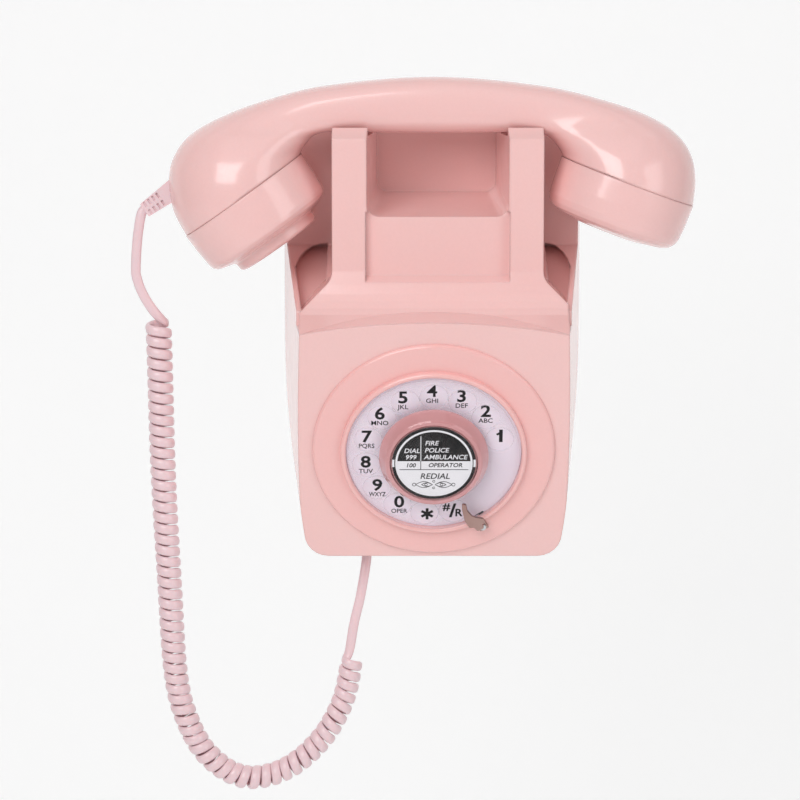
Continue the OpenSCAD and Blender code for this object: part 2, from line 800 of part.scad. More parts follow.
module gong_screws() {
    color("silver") for (s = [-1, 1]) {
        forward_rod(s * gong_x, gong_z, 1.25, gong_f + 2, gong_f + 13.5);
        forward_rod(s * gong_x, gong_z, 3, gong_f + 13.5, gong_f + 15.2);
    }
}

module ringer_coil() {
    color("#a8552c") difference() {
        union() {
            translate([-12, -16, coil_z]) rotate([0, 90, 0]) cylinder(r = 7, h = 24);
            for (x = [-13.5, 12]) box(x, x + 1.5, 7, 24, coil_z - 8, coil_z + 8);
        }
        translate([-20, -16, coil_z]) rotate([0, 90, 0]) cylinder(r = 3, h = 40);
    }
}

module ringer_core() {
    color("#8f9499") translate([-17, -16, coil_z]) rotate([0, 90, 0]) cylinder(r = 3, h = 34);
}

module clapper() {
    color("#b8bcc0") difference() {
        union() {
            forward_rod(0, clapper_z, 3.4, 14, 19);
            box(-1, 1, 15, 18, clapper_z, gong_z);
            box(-5.5, 5.5, 15, 18, clapper_z - 3, clapper_z - 1);
            forward_rod(0, gong_z, 3.2, 13.4, 19);
        }
        forward_rod(0, clapper_z, 1.5 + run_gap, 12, 22);
    }
}

module cord_grommet() {
    color("#d9a7a5") translate([grommet_x, -grommet_f, -half_h]) difference() {
        union() {
            rod(4, -0.4, wall_t + 0.4);
            rod(5.4, -1.6, 0);
            rod(5.4, wall_t, wall_t + 1.4);
        }
        rod(lead_d / 2 + 0.1, -3, 8);
    }
}

module volume_switch() {
    low = -half_h + wall_t;
    color("#2b2b30") difference() {
        box(volume_x - 11, volume_x + 11, volume_f - 5, volume_f + 5, low, low + 8);
        box(volume_x - 8, volume_x + 8, volume_f - 2.2, volume_f + 2.2, low - 1, low + 4);
    }
}

module volume_slider() {
    low = -half_h + wall_t;
    color("#26262b") box(volume_x - 7, volume_x - 1, volume_f - 2, volume_f + 2, -half_h - 1.8, low + 3.6);
}

module handset_shell() {
    color("#ecbfbc") difference() {
        bow_solid(0, 0);
        bow_solid(handset_t, 1);
        translate([-119, -handset_f, 64.2]) rotate([0, boot_a - 90, 0])
            cylinder(r = 1.6, h = 20, center = true);
    }
}

// Holes that let the sound through a cap.
module sound_holes(h0) {
    rod(1.2, h0 - 4, h0 + 4);
    for (a = [0:60:300]) rotate(a) translate([6, 0, 0]) rod(1.2, h0 - 4, h0 + 4);
    for (a = [0:30:330]) rotate(a) translate([12, 0, 0]) rod(1.2, h0 - 4, h0 + 4);
}

module mouthpiece_cap() {
    color("#ecbfbc") on_cap(mouth_c, mouth_a) difference() {
        rotate_extrude() polygon([[0, 0], [mouth_r, 0], [31.2, 10], [30.6, 17], [30, 18.8],
            [28.6, 20.2], [27.2, 20.8], [21.4, 22.4], [20.6, 23.2], [20.3, 26.2], [19.6, 27],
            [18, 27.5], [0, 27.5]]);
        rod(28.4, -1, 16.6);
        rod(18, 0, 24.8);
        sound_holes(26.5);
    }
}

module earpiece_cap() {
    color("#ecbfbc") on_cap(ear_c, ear_a) difference() {
        rotate_extrude() polygon([[0, 0], [ear_r, 0], [31.1, 10], [30.6, 16.4], [29.6, 19],
            [27.8, 21], [25, 22.2], [15, 23.8], [0, 24.4]]);
        rod(28.2, -1, 15);
        rod(24, 0, 19.6);
        sound_holes(22.2);
    }
}

module microphone_capsule() {
    color("#8f9499") on_cap(mouth_c, mouth_a) rod(17.6, 12, 24.4);
}

module receiver_capsule() {
    color("#8f9499") on_cap(ear_c, ear_a) rod(23.6, 4, 16.4);
}

module handset_weight() {
    color("#6f7378") box(-30, 30, handset_f - 6, handset_f + 6, 96, 108);
}

// Strain relief with two columns of slots.
module cord_boot() {
    color("#ecbfbc") difference() {
        translate([boot_c[0], -handset_f, boot_c[1]]) rotate([0, -(boot_a - 180) - 90, 0]) difference() {
            hull() {
                translate([-4.6, -4, -2]) cube([9.2, 8, 2]);
                translate([-3.4, -2.9, boot_len - 1]) cube([6.8, 5.8, 1]);
            }
            for (k = [0:3], s = [-1, 1]) translate([s * 2 - 1.2, -5, 7.2 + 2.3 * k]) cube([2.4, 2.6, 1]);
            for (k = [0:3], s = [-1, 1]) translate([s * 2 - 1.2, 2.4, 7.2 + 2.3 * k]) cube([2.4, 2.6, 1]);
        }
        bow_solid(-0.02, 0);
    }
}

module handset_lead() {
    color("#ecc8cd") tube(lead_route, 2, lead_d, lead_d, 8);
}

module curly_cord() {
    color("#ecc8cd") tube(coil_route, 2, coil_d, coil_d - 1.4, 10);
}

module base_lead() {
    color("#ecc8cd") tube(base_route, 3, lead_d, lead_d, 8);
}

back_plate();
front_case();
case_screws();
dial_bezel();
number_plate();
finger_stop();
stop_screws();
dial_frame();
frame_screws();
dial_bearing();
dial_rear_plate();
return_spring();
pulse_contacts();
governor_cup();
redial_switch();
circuit_board();
board_components();
board_screws();
line_jack();
hook_switch();
bell_bracket();
bell_gong_left();
bell_gong_right();
gong_screws();
ringer_coil();
ringer_core();
cord_grommet();
volume_switch();
finger_wheel();
wheel_hub();
dial_shaft();
main_gear();
pulse_cam();
shaft_clip();
governor_pinion();
governor_weights();
redial_button();
label_card();
label_lens();
handset_shell();
mouthpiece_cap();
earpiece_cap();
microphone_capsule();
receiver_capsule();
handset_weight();
cord_boot();
hook_plungers();
hook_lever();
clapper();
volume_slider();
handset_lead();
curly_cord();
base_lead();
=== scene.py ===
import json
from math import cos, pi, radians, sin, sqrt
import bpy
import bmesh
from mathutils import Matrix, Vector


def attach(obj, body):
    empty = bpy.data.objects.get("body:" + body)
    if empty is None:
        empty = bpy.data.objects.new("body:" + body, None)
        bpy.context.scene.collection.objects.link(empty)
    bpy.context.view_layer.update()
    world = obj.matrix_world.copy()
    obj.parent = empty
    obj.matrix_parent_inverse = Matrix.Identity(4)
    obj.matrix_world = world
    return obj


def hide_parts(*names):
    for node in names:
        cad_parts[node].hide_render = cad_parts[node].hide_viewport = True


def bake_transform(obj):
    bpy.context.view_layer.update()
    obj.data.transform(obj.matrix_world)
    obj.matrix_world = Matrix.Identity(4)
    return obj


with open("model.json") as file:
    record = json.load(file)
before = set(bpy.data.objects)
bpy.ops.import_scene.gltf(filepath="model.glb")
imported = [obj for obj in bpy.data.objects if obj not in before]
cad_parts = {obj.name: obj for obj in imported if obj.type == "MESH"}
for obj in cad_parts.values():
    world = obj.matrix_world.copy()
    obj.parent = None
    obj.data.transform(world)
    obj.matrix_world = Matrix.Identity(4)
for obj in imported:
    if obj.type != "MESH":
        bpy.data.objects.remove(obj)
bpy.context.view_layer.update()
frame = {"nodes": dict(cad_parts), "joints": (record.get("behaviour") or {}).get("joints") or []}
nodes = frame["nodes"]
MM = 0.001

# ---------------------------------------------------------------- camera
# A long lens a little above the telephone and slightly to its left, looking straight at the wall.
# It frames the whole telephone with the curly cord hanging below it.
aim = Vector((-0.0148, -0.055, -0.029))
camera_distance = 1.3
camera_rise = radians(8)
camera_data = bpy.data.cameras.new("camera")
camera_data.lens = 130.7
camera_data.sensor_width = 36
camera_data.clip_end = 20
camera = bpy.data.objects.new("camera", camera_data)
camera.location = aim + camera_distance * Vector((0, -cos(camera_rise), sin(camera_rise)))
camera.rotation_euler = (pi / 2 - camera_rise, 0, 0)
bpy.context.scene.collection.objects.link(camera)
bpy.context.scene.camera = camera


# ---------------------------------------------------------------- cord
# One flat cord in a soft glossy sleeve: a short straight lead, a wound curl and a second straight lead.
# It hangs from the strain relief on the handset and goes up into the underside of the case.
def catmull(points, steps):
    """Smooth line through the points, with this many steps between each two."""
    last = len(points) - 1
    out = []
    for i in range(last):
        a, b, c, d = (points[max(i - 1, 0)], points[i], points[i + 1], points[min(i + 2, last)])
        for k in range(steps):
            t = k / steps
            out.append([0.5 * (2 * q + (r - p) * t + (2 * p - 5 * q + 4 * r - s) * t * t
                               + (3 * q - p - 3 * r + s) * t ** 3) for p, q, r, s in zip(a, b, c, d)])
    return out + [list(points[last])]


def even_line(points, step):
    """The same line with its points evenly spaced."""
    line = [Vector(p) for p in catmull(points, 24)]
    total = sum((b - a).length for a, b in zip(line, line[1:]))
    count = max(2, round(total / step))
    out, travelled, i = [line[0]], 0.0, 0
    for k in range(1, count):
        goal = total * k / count
        while travelled + (line[i + 1] - line[i]).length < goal:
            travelled += (line[i + 1] - line[i]).length
            i += 1
        share = (goal - travelled) / (line[i + 1] - line[i]).length
        out.append(line[i].lerp(line[i + 1], share))
    return out + [line[-1]]


def add_mesh(name, points, faces, smooth=True):
    """A new piece from points in metres and faces."""
    mesh = bpy.data.meshes.new(name)
    mesh.from_pydata([tuple(p) for p in points], [], faces)
    mesh.validate()
    build = bmesh.new()
    build.from_mesh(mesh)
    bmesh.ops.recalc_face_normals(build, faces=build.faces)
    build.to_mesh(mesh)
    build.free()
    for face in mesh.polygons:
        face.use_smooth = smooth
    piece = bpy.data.objects.new(name, mesh)
    bpy.context.scene.collection.objects.link(piece)
    return piece


def skin(rings, closed_ends=True):
    """Faces that join rings of equal length."""
    size = len(rings[0])
    faces = [(i * size + j, i * size + (j + 1) % size, (i + 1) * size + (j + 1) % size, (i + 1) * size + j)
             for i in range(len(rings) - 1) for j in range(size)]
    if closed_ends:
        faces.append(tuple(range(size))[::-1])
        faces.append(tuple(range((len(rings) - 1) * size, len(rings) * size)))
    return [p for ring in rings for p in ring], faces


lead_route = [(-126.6, -55, 57.1), (-129.3, -55, 55), (-131, -55, 46.5), (-132, -54, 37.5),
              (-132.5, -53, 29.5), (-132.5, -52, 21), (-130.5, -51, 16.5), (-127.5, -50, 12),
              (-124, -50, 10.8)]
coil_route = [(-123, -50, 8), (-122.5, -50, -16), (-122, -49, -50), (-121, -48, -81.5),
              (-119.5, -47, -114.5), (-118, -46, -147.5), (-116, -45, -165), (-113, -45, -176),
              (-108.5, -44, -187), (-102.5, -44, -195.5), (-93.5, -43, -203), (-83.5, -43, -206),
              (-71.5, -42, -204), (-61, -42, -198), (-52, -41, -189.5), (-45.5, -41, -180),
              (-40.5, -40, -169), (-38, -40, -158), (-37, -40, -149)]
base_route = [(-37, -40, -147.8), (-38, -39, -139), (-34, -38, -127), (-31.5, -37, -114.5),
              (-30.2, -35.5, -106), (-30, -35, -101)]
cord_width = 4.4
cord_thick = 2.5
coil_turns = 62
turn_points = 16
coil_run = 330
coil_first_radius = 4.75
coil_last_radius = 4.1
ramp_turns = 0.8

lead_line = even_line(lead_route[:7], 1.5)
base_line = even_line(base_route[1:], 1.5)
coil_line = even_line(coil_route, coil_run / (coil_turns * turn_points))
front = Vector((0, -1, 0))


def coil_point(i):
    """A point of the curl and the way its sleeve faces there."""
    count = len(coil_line) - 1
    along = (coil_line[min(i + 1, count)] - coil_line[max(i - 1, 0)]).normalized()
    side = along.cross(front).normalized()
    up = side.cross(along).normalized()
    turn = 2 * pi * coil_turns * i / count
    share = i / count
    radius = coil_first_radius + (coil_last_radius - coil_first_radius) * share
    ramp = min(1, share * coil_turns / ramp_turns, (1 - share) * coil_turns / ramp_turns)
    radius *= ramp * ramp * (3 - 2 * ramp)
    outward = side * cos(turn) + up * sin(turn)
    return coil_line[i] + outward * radius, outward.lerp(front, 1 - ramp).normalized()


cord_path, cord_faces_out = [], []
for point in lead_line:
    cord_path.append(point)
    cord_faces_out.append(front)
coil_start = len(cord_path)
for i in range(len(coil_line)):
    point, outward = coil_point(i)
    cord_path.append(point)
    cord_faces_out.append(outward)
coil_end = len(cord_path)
for point in base_line:
    cord_path.append(point)
    cord_faces_out.append(front)
# The two bends between a lead and the curl are eased over by a few passes of averaging.
easing_passes = 30
easing_reach = 8
for joint_at in (coil_start, coil_end):
    for easing in range(easing_passes):
        for i in range(joint_at - easing_reach, joint_at + easing_reach + 1):
            cord_path[i] = (cord_path[i - 1] + 2 * cord_path[i] + cord_path[i + 1]) / 4
            facing = cord_faces_out[i - 1] + 2 * cord_faces_out[i] + cord_faces_out[i + 1]
            cord_faces_out[i] = facing.normalized()
cord_sides = 12
cord_rings = []
for i, centre in enumerate(cord_path):
    along = (cord_path[min(i + 1, len(cord_path) - 1)] - cord_path[max(i - 1, 0)]).normalized()
    across = along.cross(cord_faces_out[i]).normalized()
    outward = across.cross(along).normalized()
    ring = []
    for k in range(cord_sides):
        angle = 2 * pi * k / cord_sides
        flat = abs(cos(angle)) ** 0.8 * (1 if cos(angle) > 0 else -1)
        ring.append((centre + across * flat * cord_width / 2 + outward * sin(angle) * cord_thick / 2) * MM)
    cord_rings.append(ring)
cord = add_mesh("curly_cord_sleeve", *skin(cord_rings))


class Wire:
    """A shader socket that takes part in arithmetic: each operation adds a Math node."""

    def __init__(self, tree, socket=None):
        self.tree = tree
        self.socket = socket

    def node(self, kind, settings=None, sockets=None, out=0):
        """Adds a node of this type, sets it up, feeds its sockets and gives one of its outputs."""
        made = self.tree.nodes.new("ShaderNode" + kind)
        for name, value in (settings or {}).items():
            if name == "stops":
                ramp = made.color_ramp.elements
                while len(ramp) < len(value):
                    ramp.new(0.5)
                for element, (place, colour) in zip(ramp, value):
                    element.position = place
                    element.color = colour
            else:
                setattr(made, name, value)
        for name, value in (sockets or {}).items():
            if isinstance(value, Wire):
                self.tree.links.new(value.socket, made.inputs[name])
            else:
                made.inputs[name].default_value = value
        return Wire(self.tree, made.outputs[out] if len(made.outputs) else None)

    def math(self, operation, a, b):
        return self.node("Math", {"operation": operation}, {0: a, 1: b})

    def __add__(self, other):
        return self.math("ADD", self, other)

    def __radd__(self, other):
        return self.math("ADD", other, self)

    def __sub__(self, other):
        return self.math("SUBTRACT", self, other)

    def __rsub__(self, other):
        return self.math("SUBTRACT", other, self)

    def __mul__(self, other):
        return self.math("MULTIPLY", self, other)

    def __rmul__(self, other):
        return self.math("MULTIPLY", other, self)

    def clamp(self, low, high):
        return self.math("MINIMUM", self.math("MAXIMUM", self, low), high)


def new_material(name):
    """An empty material and the wire that its nodes are made on."""
    material = bpy.data.materials.new(name)
    material.use_nodes = True
    material.node_tree.nodes.clear()
    return material, Wire(material.node_tree)


def finish_material(material, wire, **sockets):
    """Closes a material with its main shader; names use _ for a space."""
    named = {key.replace("_", " "): value for key, value in sockets.items()}
    shader = wire.node("BsdfPrincipled", {}, named)
    wire.node("OutputMaterial", {}, {"Surface": shader})
    return material


def tint(wire, colour, other, factor):
    """A colour that turns to another by a factor."""
    return wire.node("Mix", {"data_type": "RGBA"}, {0: factor, 6: (*colour, 1), 7: (*other, 1)}, out=2)


def place(wire):
    """Where a point lies on its own piece."""
    return wire.node("TexCoord", {}, {}, out=3)


def noise(wire, scale, detail=3.0, where=None):
    """A cloudy value between 0 and 1."""
    return wire.node("TexNoise", {}, {"Scale": scale, "Detail": detail, "Vector": where or place(wire)})


def moulded(name, colour, deep, rough, peel, coat, cloud=0.35, rounding=0.0):
    """Moulded plastic: a faint drift of colour, a slightly uneven gloss, a fine skin and rounded edges."""
    material, wire = new_material(name)
    drift = noise(wire, 18, 2.0)
    speck = noise(wire, 900, 2.0)
    smear = noise(wire, 70, 4.0)
    base = tint(wire, colour, deep, ((drift - 0.5) * cloud + 0.25).clamp(0, 1))
    fine = tint(wire, (1, 1, 1), (0.96, 0.95, 0.95), speck)
    colour_out = wire.node("Mix", {"data_type": "RGBA", "blend_type": "MULTIPLY"},
                           {0: 1.0, 6: base, 7: fine}, out=2)
    gloss = (rough + (smear - 0.5) * 0.12).clamp(0.03, 1)
    bump = {"Strength": peel, "Distance": 0.0002, "Height": noise(wire, 260, 2.0) + speck * 0.3}
    if rounding:
        bump["Normal"] = wire.node("Bevel", {"samples": 6}, {"Radius": rounding * MM})
    return finish_material(material, wire, Base_Color=colour_out, Roughness=gloss,
                           Normal=wire.node("Bump", {}, bump),
                           Coat_Weight=coat, Coat_Roughness=0.08, IOR=1.5,
                           Subsurface_Weight=0.12, Subsurface_Radius=(0.004, 0.002, 0.0015),
                           Subsurface_Scale=0.3)


cord_sleeve = moulded("cord_sleeve", (0.88, 0.66, 0.69), (0.86, 0.63, 0.66), 0.3, 0.06, 0.2)
cord.data.materials.append(cord_sleeve)
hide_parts("handset_lead", "curly_cord", "base_lead")
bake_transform(cord)
[tuple(p * MM) for p in cord_path]


# ---------------------------------------------------------------- case
# The case is one deep glossy moulding, open at the back, whose edges are rounded in its shading.
# A satin plate of the same plastic closes it and carries the works; two screws go up into it.
def paint(node, material):
    """Puts one material on a CAD node."""
    data = nodes[node].data
    data.materials.clear()
    data.materials.append(material)


def soften(node, width, steps=3, angle=30):
    """Rounds a CAD node's sharp edges with modifiers, by a width in millimetres."""
    piece = nodes[node]
    for face in piece.data.polygons:
        face.use_smooth = True
    close = piece.modifiers.new("close", "WELD")
    close.merge_threshold = 0.00001
    edge = piece.modifiers.new("edge", "BEVEL")
    edge.width = width * MM
    edge.segments = steps
    edge.limit_method = "ANGLE"
    edge.angle_limit = radians(angle)
    edge.use_clamp_overlap = False
    even = piece.modifiers.new("even", "WEIGHTED_NORMAL")
    even.keep_sharp = False


pink = moulded("pink_plastic", (0.94, 0.60, 0.58), (0.92, 0.56, 0.54), 0.2, 0.04, 0.3, rounding=1.4)
pink_back = moulded("back_plastic", (0.86, 0.56, 0.55), (0.82, 0.52, 0.51), 0.5, 0.2, 0.0)
paint("front_case", pink)
paint("back_plate", pink_back)
paint("cord_grommet", pink_back)
paint("hook_plungers", pink)


def metal(name, colour, rough, streak=0.15):
    """Plated or machined metal with a faint streaked finish."""
    material, wire = new_material(name)
    grain = wire.node("Mapping", {}, {"Vector": place(wire), "Scale": (40.0, 900.0, 900.0)})
    lines = noise(wire, 1.0, 3.0, grain)
    cloud = noise(wire, 60, 3.0)
    base = tint(wire, colour, tuple(c * 0.78 for c in colour), (cloud - 0.2).clamp(0, 1))
    gloss = (rough + (lines - 0.5) * streak).clamp(0.04, 1)
    bump = wire.node("Bump", {}, {"Strength": 0.05, "Distance": 0.0001, "Height": lines})
    return finish_material(material, wire, Base_Color=base, Roughness=gloss, Metallic=1.0, Normal=bump)


steel = metal("zinc_steel", (0.62, 0.63, 0.65), 0.3)
brass = metal("brass", (0.78, 0.60, 0.30), 0.25)
for screw_node in ("case_screws", "frame_screws", "board_screws", "gong_screws", "stop_screws"):
    paint(screw_node, steel)


# ---------------------------------------------------------------- dial face
# A round bezel plate with a raised lip is screwed to the sloping face, and a printed plate lies in it.
# The figures and letters are printed upright in black, one group under each finger hole.
dial_joint = next(j for j in frame["joints"] if j["name"] == "dial_turn")
dial_centre = Vector(dial_joint["pos_m"])
dial_out = -Vector(dial_joint["axis"]).normalized()
dial_up = Vector((1, 0, 0)).cross(-dial_out).normalized()
dial_plane = Matrix((
    (1, dial_up.x, dial_out.x, dial_centre.x),
    (0, dial_up.y, dial_out.y, dial_centre.y),
    (0, dial_up.z, dial_out.z, dial_centre.z),
    (0, 0, 0, 1)))
bezel_pink = moulded("bezel_pink", (0.955, 0.55, 0.53), (0.935, 0.52, 0.5), 0.22, 0.04, 0.3)
paint("dial_bezel", bezel_pink)
plate_white = moulded("number_plate_print", (0.93, 0.82, 0.92), (0.9, 0.79, 0.89), 0.35, 0.03, 0.1)
paint("number_plate", plate_white)

ink, ink_wire = new_material("black_ink")
finish_material(ink, ink_wire, Roughness=0.35, Specular_IOR_Level=0.15, Base_Color=tint(
    ink_wire, (0.012, 0.011, 0.013), (0.03, 0.028, 0.03), noise(ink_wire, 400)))
print_thick = 0.04


def lettering(text, size, x, v, n, weight=0.0, lean=0.0, stretch=1.0):
    """Flat printed characters, centred at a point of the dial plane, in millimetres."""
    curve = bpy.data.curves.new("lettering", "FONT")
    curve.body = text
    curve.size = size
    curve.align_x = "CENTER"
    curve.align_y = "CENTER"
    curve.offset = weight
    curve.shear = lean
    curve.extrude = print_thick
    curve.resolution_u = 3
    holder = bpy.data.objects.new("lettering", curve)
    bpy.context.scene.collection.objects.link(holder)
    bpy.context.view_layer.update()
    mesh = bpy.data.meshes.new_from_object(holder.evaluated_get(bpy.context.evaluated_depsgraph_get()))
    mesh.transform(dial_plane @ Matrix.Scale(MM, 4) @ Matrix.Translation((x, v, n))
                   @ Matrix.Diagonal((stretch, 1, 1, 1)))
    bpy.data.objects.remove(holder)
    bpy.data.curves.remove(curve)
    return mesh


def join_meshes(name, meshes, material, body):
    """One piece from several meshes."""
    build = bmesh.new()
    for mesh in meshes:
        build.from_mesh(mesh)
        bpy.data.meshes.remove(mesh)
    joined = bpy.data.meshes.new(name)
    build.to_mesh(joined)
    build.free()
    joined.materials.clear()
    joined.materials.append(material)
    for face in joined.polygons:
        face.material_index = 0
    piece = bpy.data.objects.new(name, joined)
    bpy.context.scene.collection.objects.link(piece)
    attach(piece, body)
    return piece


def plate_mesh(outline, n):
    """A thin flat shape on the dial plane, from its outline in millimetres."""
    count = len(outline)
    points = [dial_plane @ (Vector((x, v, n + h)) * MM) for h in (0, print_thick) for x, v in outline]
    faces = [tuple(range(count))[::-1], tuple(range(count, 2 * count))]
    faces += [(k, (k + 1) % count, count + (k + 1) % count, count + k) for k in range(count)]
    mesh = bpy.data.meshes.new("print")
    mesh.from_pydata([tuple(p) for p in points], [], faces)
    return mesh


def band_mesh(r_out, r_in, n, start=0, end=360, parts=72):
    """A thin ring or part of one on the dial plane, closed at both ends."""
    rings = []
    for k in range(parts + 1):
        a = radians(start + (end - start) * k / parts)
        rings.append([dial_plane @ Vector((r * cos(a) * MM, r * sin(a) * MM, (n + h) * MM))
                      for r, h in ((r_out, 0), (r_out, print_thick), (r_in, print_thick), (r_in, 0))])
    points, faces = skin(rings, closed_ends=True)
    mesh = bpy.data.meshes.new("band")
    mesh.from_pydata([tuple(p) for p in points], [], faces)
    return mesh


def stroke(points, width, n):
    """A thin drawn line through points of the dial plane."""
    line = [Vector((*p, 0)) for p in points]
    left, right = [], []
    for i, p in enumerate(line):
        along = (line[min(i + 1, len(line) - 1)] - line[max(i - 1, 0)]).normalized()
        side = Vector((-along.y, along.x, 0)) * width / 2
        left.append((p + side)[:2])
        right.append((p - side)[:2])
    return plate_mesh(left + right[::-1], n)


legend_circle = 30.4
legend_step = 24.75
legend_first = 17.3
legend_drop = 1.3
plate_top = 2.0
figure_size = 8.2
letter_size = 3.1
star_arm = 2.9
groups = [("1", ""), ("2", "ABC"), ("3", "DEF"), ("4", "GHI"), ("5", "JKL"), ("6", "MNO"), ("7", "PQRS"),
          ("8", "TUV"), ("9", "WXYZ"), ("0", "OPER"), ("*", ""), ("#/R", "")]
printed = []
for i, (figure, letters) in enumerate(groups):
    angle = radians(legend_first + legend_step * i)
    x, v = legend_circle * cos(angle), legend_circle * sin(angle) - legend_drop
    if letters:
        weight = 0.12 if figure == "4" else 0.2
        width = {3: 1.05, 4: 0.95}[len(letters)] if letters != "WXYZ" else 0.8
        printed.append(lettering(figure, figure_size, x, v + 1.7, plate_top, weight, stretch=1.12))
        printed.append(lettering(letters, letter_size, x, v - 2.9, plate_top, 0.03, stretch=width))
    elif figure == "*":
        for turn in (30, 90, 150):
            arm = (star_arm * cos(radians(turn)), star_arm * sin(radians(turn)))
            printed.append(stroke([(x - arm[0], v - arm[1] - 0.4), (x + arm[0], v + arm[1] - 0.4)], 1.25,
                                  plate_top + turn / 10000))
    elif figure == "1":
        printed.append(lettering(figure, 8.6, x + 0.3, v + 0.4, plate_top, 0.24, stretch=1.2))
        printed.append(stroke([(x + 0.3, v + 2.9), (x - 0.5, v + 1.9), (x - 1.6, v + 1.4)], 1.0, plate_top))
    else:
        printed.append(lettering("#", 5.4, x - 4.4, v + 1.6, plate_top, 0.12))
        printed.append(lettering("/", 9.6, x - 1.6, v - 0.6, plate_top, 0.26))
        printed.append(lettering("R", 5.4, x + 1.0, v - 1.6, plate_top, 0.14))
# These two black wedges beside the finger stop are not printing on the plate: they are a painted dark patch
# standing in for the shade seen there through the wheel's edge.
shade_wedges = [[(17.4, -33.6), (21.8, -30.4), (22.6, -30.9), (20.2, -32.6), (20.4, -32.2)],
          [(18.2, -34.2), (22.6, -31.4), (23.0, -30.9), (21.2, -31.9)]]
printed += [plate_mesh(wedge, plate_top) for wedge in shade_wedges]
join_meshes("printed_figures", printed, ink, "base")


# ---------------------------------------------------------------- finger wheel
# The wheel is clear moulded acrylic with twelve finger holes, and a tinted hub stands on it.
# The redial button in the hub shows a printed card under a clear lens.
def clear(name, colour, grazing_sheen_colour, low, high, coat):
    """Clear moulding: seen through face on; towards grazing angles its colour turns to a painted sheen
    colour and it grows less clear, a painted reflection at its edges.
    """
    material, wire = new_material(name)
    edge = wire.node("LayerWeight", {}, {"Blend": 0.25}, out=1)
    veil = (low + edge * (high - low) + (noise(wire, 120, 3.0) - 0.5) * 0.02).clamp(0, 1)
    gloss = (0.06 + noise(wire, 90, 4.0) * 0.08).clamp(0, 1)
    return finish_material(material, wire, Base_Color=tint(wire, colour, grazing_sheen_colour, edge),
                           Roughness=gloss, Alpha=veil, Coat_Weight=coat, Coat_Roughness=0.03, IOR=1.49)


# The second colours are painted edge light: a greyish-lilac painted edge shade on the wheel, a pale painted
# sheen on the hub and a white painted reflection on the lens.
acrylic = clear("clear_acrylic", (0.86, 0.8, 0.86), (0.5, 0.4, 0.46), 0.02, 0.55, 0.4)
hub_clear = clear("tinted_acrylic", (0.78, 0.36, 0.37), (0.86, 0.56, 0.56), 0.72, 0.9, 0.5)
lens_clear = clear("lens_acrylic", (0.8, 0.8, 0.8), (1, 1, 1), 0.0, 0.25, 0.0)
paint("finger_wheel", acrylic)
soften("finger_wheel", 0.4, steps=2)
paint("wheel_hub", hub_clear)
paint("redial_button", hub_clear)
paint("label_card", ink)
paint("label_lens", lens_clear)

white_ink, white_wire = new_material("white_ink")
finish_material(white_ink, white_wire, Roughness=0.4, Base_Color=tint(
    white_wire, (0.9, 0.88, 0.92), (0.84, 0.82, 0.86), noise(white_wire, 300)))
card_top = 11.13
print_up = 0.05
white_radius = 16.1
row_top, row_low = 1.1, -3.2
lower = [(white_radius * cos(radians(a)), white_radius * sin(radians(a)))
         for a in range(181, 360, 6)]
white_prints = [
    band_mesh(16.9, 16.0, card_top),
    plate_mesh([(-sqrt(white_radius ** 2 - row_top ** 2), row_top)] + lower
               + [(sqrt(white_radius ** 2 - row_top ** 2), row_top)], card_top),
    plate_mesh([(-5.9, row_top + 0.1), (-5.55, row_top + 0.1), (-5.55, 13.8), (-5.9, 13.8)], card_top),
    lettering("DIAL", 3.2, -9.7, 6.3, card_top + print_up, 0.04, 0.2),
    lettering("999", 3.2, -10.2, 3.0, card_top + print_up, 0.04, 0.2),
    lettering("FIRE", 3.2, -1.1, 10.2, card_top + print_up, 0.04, 0.2),
    lettering("POLICE", 3.2, 1.1, 6.6, card_top + print_up, 0.04, 0.2),
    lettering("AMBULANCE", 3.2, 5.0, 3.1, card_top + print_up, 0.04, 0.2),
]
for notch in (0, 180):
    white_prints.append(band_mesh(18.25, 17.3, card_top, notch - 6, notch + 6, 8))
join_meshes("label_white_print", white_prints, white_ink, "redial")
dark_up = card_top + print_thick + 0.01
dark_prints = [
    lettering("100", 2.9, -10.2, -1.1, dark_up, 0.05, 0.2),
    lettering("OPERATOR", 2.9, 4.9, -1.0, dark_up, 0.05, 0.2),
    lettering("REDIAL", 4.0, 0.4, -6.7, dark_up, 0.04, 0.2),
    stroke([(-15.0, row_low), (15.0, row_low)], 0.3, dark_up),
    stroke([(-5.75, row_top), (-5.75, row_low)], 0.3, dark_up),
]
scroll_start = 0.6
scroll_height = -10.9
for side in (-1, 1):
    for reach, bend in ((8.0, 1.3), (8.0, -1.3), (5.4, 0.8), (5.4, -0.8)):
        curl = [(side * (scroll_start + (reach - scroll_start) * k / 14),
                 scroll_height + bend * sin(pi * k / 14) * 1.2) for k in range(15)]
        dark_prints.append(stroke(curl, 0.26, dark_up))
    for x, r in ((8.6, 0.75), (3.4, 0.6)):
        loop = [(side * x + r * cos(2 * pi * k / 14), scroll_height + r * sin(2 * pi * k / 14))
                for k in range(14)]
        dark_prints.append(stroke(loop, 0.26, dark_up))
for v in (-9.2, -12.6):
    bead = [(0.5 * cos(2 * pi * k / 12), v + 0.5 * sin(2 * pi * k / 12)) for k in range(12)]
    dark_prints.append(stroke(bead, 0.24, dark_up))
join_meshes("label_black_print", dark_prints, ink, "redial")

# Polished metal for the finger stop and the bell gongs. Its brown-pink base colour is a painted reflection
# of the pink case and the dark parts around it.
reflection_painted_metal, chrome_wire = new_material("polished_metal_painted_reflection")
finish_material(reflection_painted_metal, chrome_wire, Metallic=1.0, Base_Color=tint(
    chrome_wire, (0.46, 0.31, 0.28), (0.3, 0.17, 0.15), noise(chrome_wire, 60)),
    Roughness=(0.1 + noise(chrome_wire, 160, 4.0) * 0.12).clamp(0, 1))
paint("finger_stop", reflection_painted_metal)
soften("finger_stop", 0.35)


